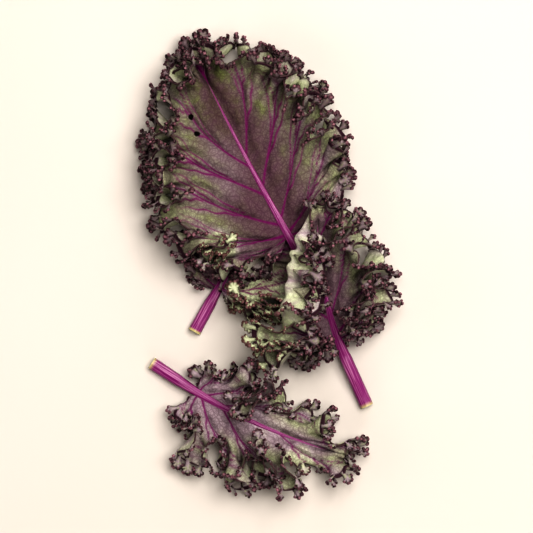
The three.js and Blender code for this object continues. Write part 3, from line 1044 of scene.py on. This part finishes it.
# %% [markdown]
# ## Making the stalks
# A stalk could be a curve with a bevel that tapers to a thread. A cylinder does as well and keeps its ends:
# its long edges are subdivided into rings, and the rings are carried along the midrib, ribbed lengthwise.
# Two insets then give the cut face its fresh rim and its shallow dish.

# %% Shape of a stalk
STALK_SIDES = 28
STALK_RINGS = 90
STALK_CREST = 0.8
STALK_RIBS = 7
RIB_DEPTH = 0.05
RIBS_END = 20
CUT_RIM = 0.2
CUT_SLOPE = 0.5
CUT_DISH = 0.15


def stalk_points(leaf, x, around):
    """Points of the stalk by length and angle, with a flattened crest and nothing below the table."""
    radius = rib_radius(leaf, x) * (1 + RIB_DEPTH * np.cos(STALK_RIBS * around) * (x < RIBS_END))
    up = np.cos(around)
    points = place(leaf, x, radius * np.sin(around), radius * up * np.where(up > 0, STALK_CREST, 1))
    points[..., 2] = np.maximum(points[..., 2], 0)
    return points


def ringed_tube(name):
    """A cylinder from -1 to 1 along Z, with its long edges cut into rings."""
    bpy.ops.object.select_all(action="DESELECT")
    bpy.ops.mesh.primitive_cylinder_add(vertices=STALK_SIDES, radius=1, depth=2, end_fill_type="NGON")
    tube = bpy.context.object
    tube.name = name
    bpy.ops.object.mode_set(mode="EDIT")
    bpy.ops.mesh.select_mode(type="EDGE")
    bpy.ops.mesh.select_all(action="DESELECT")
    bpy.ops.object.mode_set(mode="OBJECT")
    for edge in tube.data.edges:
        low, high = (tube.data.vertices[i].co.z for i in edge.vertices)
        edge.select = abs(high - low) > 1
    bpy.ops.object.mode_set(mode="EDIT")
    bpy.ops.mesh.subdivide(number_cuts=STALK_RINGS)
    bpy.ops.object.mode_set(mode="OBJECT")
    return tube


def dress_cut(mesh, at_cut):
    """Gives the cut face its finish, rim and dish; `at_cut` says which vertices lie on it."""
    bpy.ops.object.mode_set(mode="EDIT")
    bpy.ops.mesh.select_all(action="DESELECT")
    bpy.ops.object.mode_set(mode="OBJECT")
    for face in mesh.polygons:
        face.select = len(face.vertices) == STALK_SIDES and all(at_cut[i] for i in face.vertices)
        face.material_index = int(face.select)
    bpy.ops.object.mode_set(mode="EDIT")
    bpy.ops.mesh.select_mode(type="FACE")
    bpy.ops.mesh.inset(thickness=CUT_RIM * MM, use_even_offset=False)
    bpy.ops.mesh.inset(thickness=CUT_SLOPE * MM, depth=-CUT_DISH * MM, use_even_offset=False)
    bpy.ops.mesh.select_all(action="SELECT")
    bpy.ops.mesh.normals_make_consistent(inside=False)
    bpy.ops.object.mode_set(mode="OBJECT")


print("a stalk has", STALK_SIDES, "sides and", STALK_RINGS, "rings between its ends")

# %% Make the stalks
FRESH_RANGE = (0.2, 0.9)
CUT_SHARE = 0.01
SMOOTH_ANGLE = 50


def make_stalk(name, leaf):
    stalk = ringed_tube(f"{name}_stalk_looks")
    mesh = stalk.data
    tube = np.array([v.co for v in mesh.vertices])
    share = (tube[:, 2] + 1) / 2
    around = np.arctan2(tube[:, 0], tube[:, 1])
    x = mix(-leaf["bare"], RIB_SHARE * leaf["length"], share)
    mesh.vertices.foreach_set("co", (stalk_points(leaf, x, around) * MM).ravel())
    set_attribute(mesh, "around", around)
    set_attribute(mesh, "along", x)
    set_attribute(mesh, "fresh", 1 - smooth(x + leaf["bare"], *FRESH_RANGE))
    mesh.materials.append(stalk_material)
    mesh.materials.append(cut_material)
    dress_cut(mesh, share < CUT_SHARE)
    bpy.ops.object.shade_smooth_by_angle(angle=np.radians(SMOOTH_ANGLE))
    return stalk


for name, leaf in LEAVES.items():
    stalk = make_stalk(name, leaf)
    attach(stalk, "root")
    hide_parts(f"{name}_stalk")
    print(stalk.name, len(stalk.data.polygons), "faces")

# %% [markdown]
# ## Table
# The leaves lie on a warm white table that fills the view. A box with legs would do, but a plane
# that reaches far out of view looks the same, and a faint cloudiness of painted shade, darker and warmer
# in broad patches, keeps it from looking like paper.

# %% Table
TABLE_SIZE = 3.0
TABLE_WHITE = (0.57, 0.548, 0.532)
# Painted shade: the darker, warmer tone of the table's broad patches.
TABLE_PAINTED_SHADE = (0.54, 0.5, 0.465)
TABLE_ROUGHNESS = 0.7
PAINTED_SHADE_CLOUDS = (6.0, 2.0)

bpy.ops.object.select_all(action="DESELECT")
bpy.ops.mesh.primitive_plane_add(size=TABLE_SIZE)
table = bpy.context.object
table.name = "table"
table_material, shader, links, add = finish("table_white", TABLE_ROUGHNESS)
# Painted shade: broad noise patches darken and warm the table.
painted_shade_clouds = noise(add, add("ShaderNodeTexCoord").outputs["Object"], *PAINTED_SHADE_CLOUDS)
links.new(blend_colour(add, painted_shade_clouds, TABLE_WHITE, TABLE_PAINTED_SHADE), shader.inputs["Base Color"])
table.data.materials.append(table_material)
print("table", TABLE_SIZE, "m wide")

# %% [markdown]
# ## Light
# The light is soft daylight from the upper right. A sun lamp would give hard shadows, so the key light is a
# large panel. Three weak panels lower down light the leaves' sides, which matters in the side views,
# and a faint warm world fills the shadows.

# %% Light
KEY_PLACE = (0.24, 0.2, 0.88)
KEY_SIZE = 0.7
KEY_WATTS = 11.8
SIDE_PLACES = ((-0.75, -0.1, 0.34), (0.1, -0.75, 0.34), (0.2, 0.8, 0.34))
SIDE_SIZE = 0.5
SIDE_WATTS = 1.4
LIGHT_COLOUR = (1.0, 0.96, 0.91)
FILL_LIGHT = (1.0, 0.86, 0.7)
FILL_STRENGTH = 0.07


def aim(obj, place_at, target=(0, 0, 0)):
    obj.location = place_at
    direction = np.array(target) - np.array(place_at)
    yaw = np.arctan2(direction[1], direction[0]) - np.pi / 2
    pitch = np.arctan2(np.hypot(direction[0], direction[1]), -direction[2])
    obj.rotation_euler = (pitch, 0, yaw)


def soft_panel(name, place_at, size, watts):
    panel = bpy.data.objects.new(name, bpy.data.lights.new(name, "AREA"))
    panel.data.size = size
    panel.data.energy = watts
    panel.data.color = LIGHT_COLOUR
    bpy.context.collection.objects.link(panel)
    aim(panel, place_at)


soft_panel("key_light", KEY_PLACE, KEY_SIZE, KEY_WATTS)
for i, place_at in enumerate(SIDE_PLACES):
    soft_panel(f"side_light_{i + 1}", place_at, SIDE_SIZE, SIDE_WATTS)
world = bpy.data.worlds.new("daylight")
world.use_nodes = True
background = world.node_tree.nodes["Background"]
background.inputs["Color"].default_value = (*FILL_LIGHT, 1)
background.inputs["Strength"].default_value = FILL_STRENGTH
bpy.context.scene.world = world
print("key light", KEY_WATTS, "W and", len(SIDE_PLACES), "side lights of", SIDE_WATTS, "W")

# %% [markdown]
# ## Camera
# The bunch is seen from straight above. A long lens from high up keeps the heights of the leaves from
# shifting them, and a firm contrast curve gives deep shadows inside the frill.

# %% Camera
CAMERA_HEIGHT = 0.9
VIEW_WIDTH = 0.146
SENSOR = 36
CAMERA_LOOK = "High Contrast"
CAMERA_GAMMA = 0.83

camera = bpy.data.objects.new("camera", bpy.data.cameras.new("camera"))
camera.data.sensor_width = SENSOR
camera.data.lens = SENSOR * CAMERA_HEIGHT / VIEW_WIDTH
camera.location = (0, 0, CAMERA_HEIGHT)
bpy.context.collection.objects.link(camera)
bpy.context.scene.camera = camera
bpy.context.scene.view_settings.view_transform = "Standard"
bpy.context.scene.view_settings.look = CAMERA_LOOK
bpy.context.scene.view_settings.gamma = CAMERA_GAMMA
print("camera", CAMERA_HEIGHT, "m above the table")
